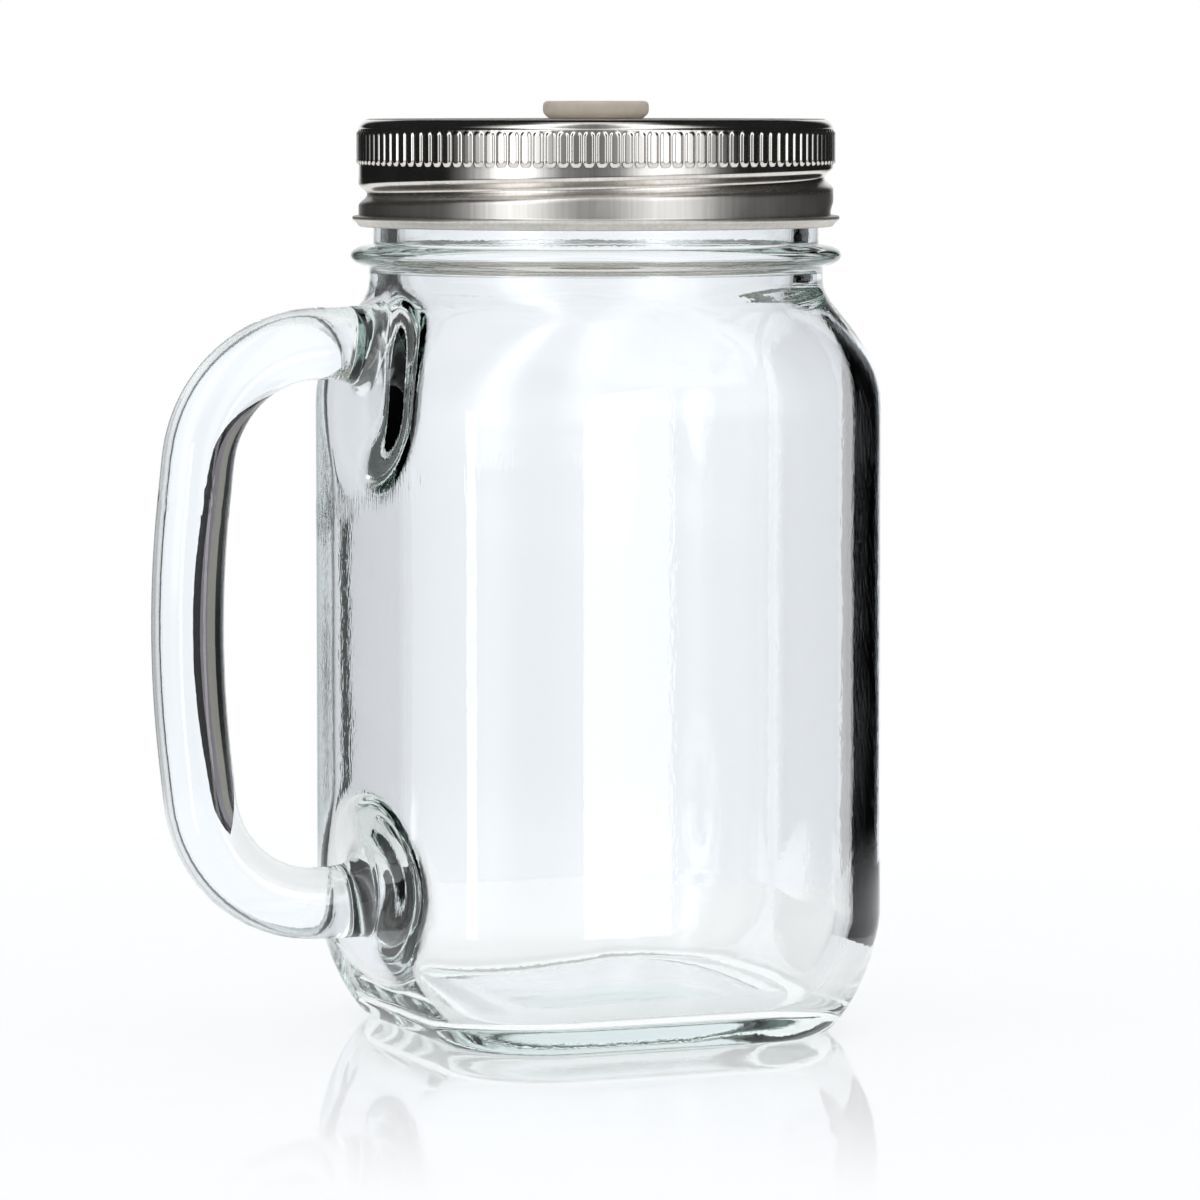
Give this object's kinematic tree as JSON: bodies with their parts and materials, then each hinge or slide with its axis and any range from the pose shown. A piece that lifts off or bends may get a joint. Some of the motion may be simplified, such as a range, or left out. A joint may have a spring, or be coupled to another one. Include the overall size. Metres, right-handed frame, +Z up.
{
  "type": "handled drinking jar",
  "caption": "Square glass drinking jar with rounded corners, a round screw mouth, a side handle and a steel screw lid with a silicone straw grommet.",
  "frame": {"origin": "middle of the flat base, on the axis of the jar's mouth", "axes": "+Z up along the jar's axis, -X towards the handle"},
  "size_m": [0.1087, 0.076, 0.1402],
  "materials": {
    "glass": "clear, fire-polished, faintly green where it is thick",
    "seal": "matt white",
    "steel": "satin, drawn",
    "silicone": "translucent, satin"
  },
  "bodies": {
    "jar": {"jar_body": "glass", "handle": "glass"},
    "seal": {"lid_gasket": "seal"},
    "lid": {"lid_shell": "steel", "straw_grommet": "silicone"}
  },
  "joints": [
    {"name": "lid_lift", "type": "slide", "parent": "jar", "child": "seal", "axis": [0, 0, 1], "range_m": [0, 0.02545]},
    {"name": "lid_turn", "type": "hinge", "parent": "seal", "child": "lid", "pos_m": [0, 0, 0.1294], "axis": [0, 0, 1], "range_deg": [0, 1800]}
  ],
  "couplings": [
    {"joint": "lid_lift", "follows": "lid_turn", "m_per_rad": 0.00080851}
  ]
}
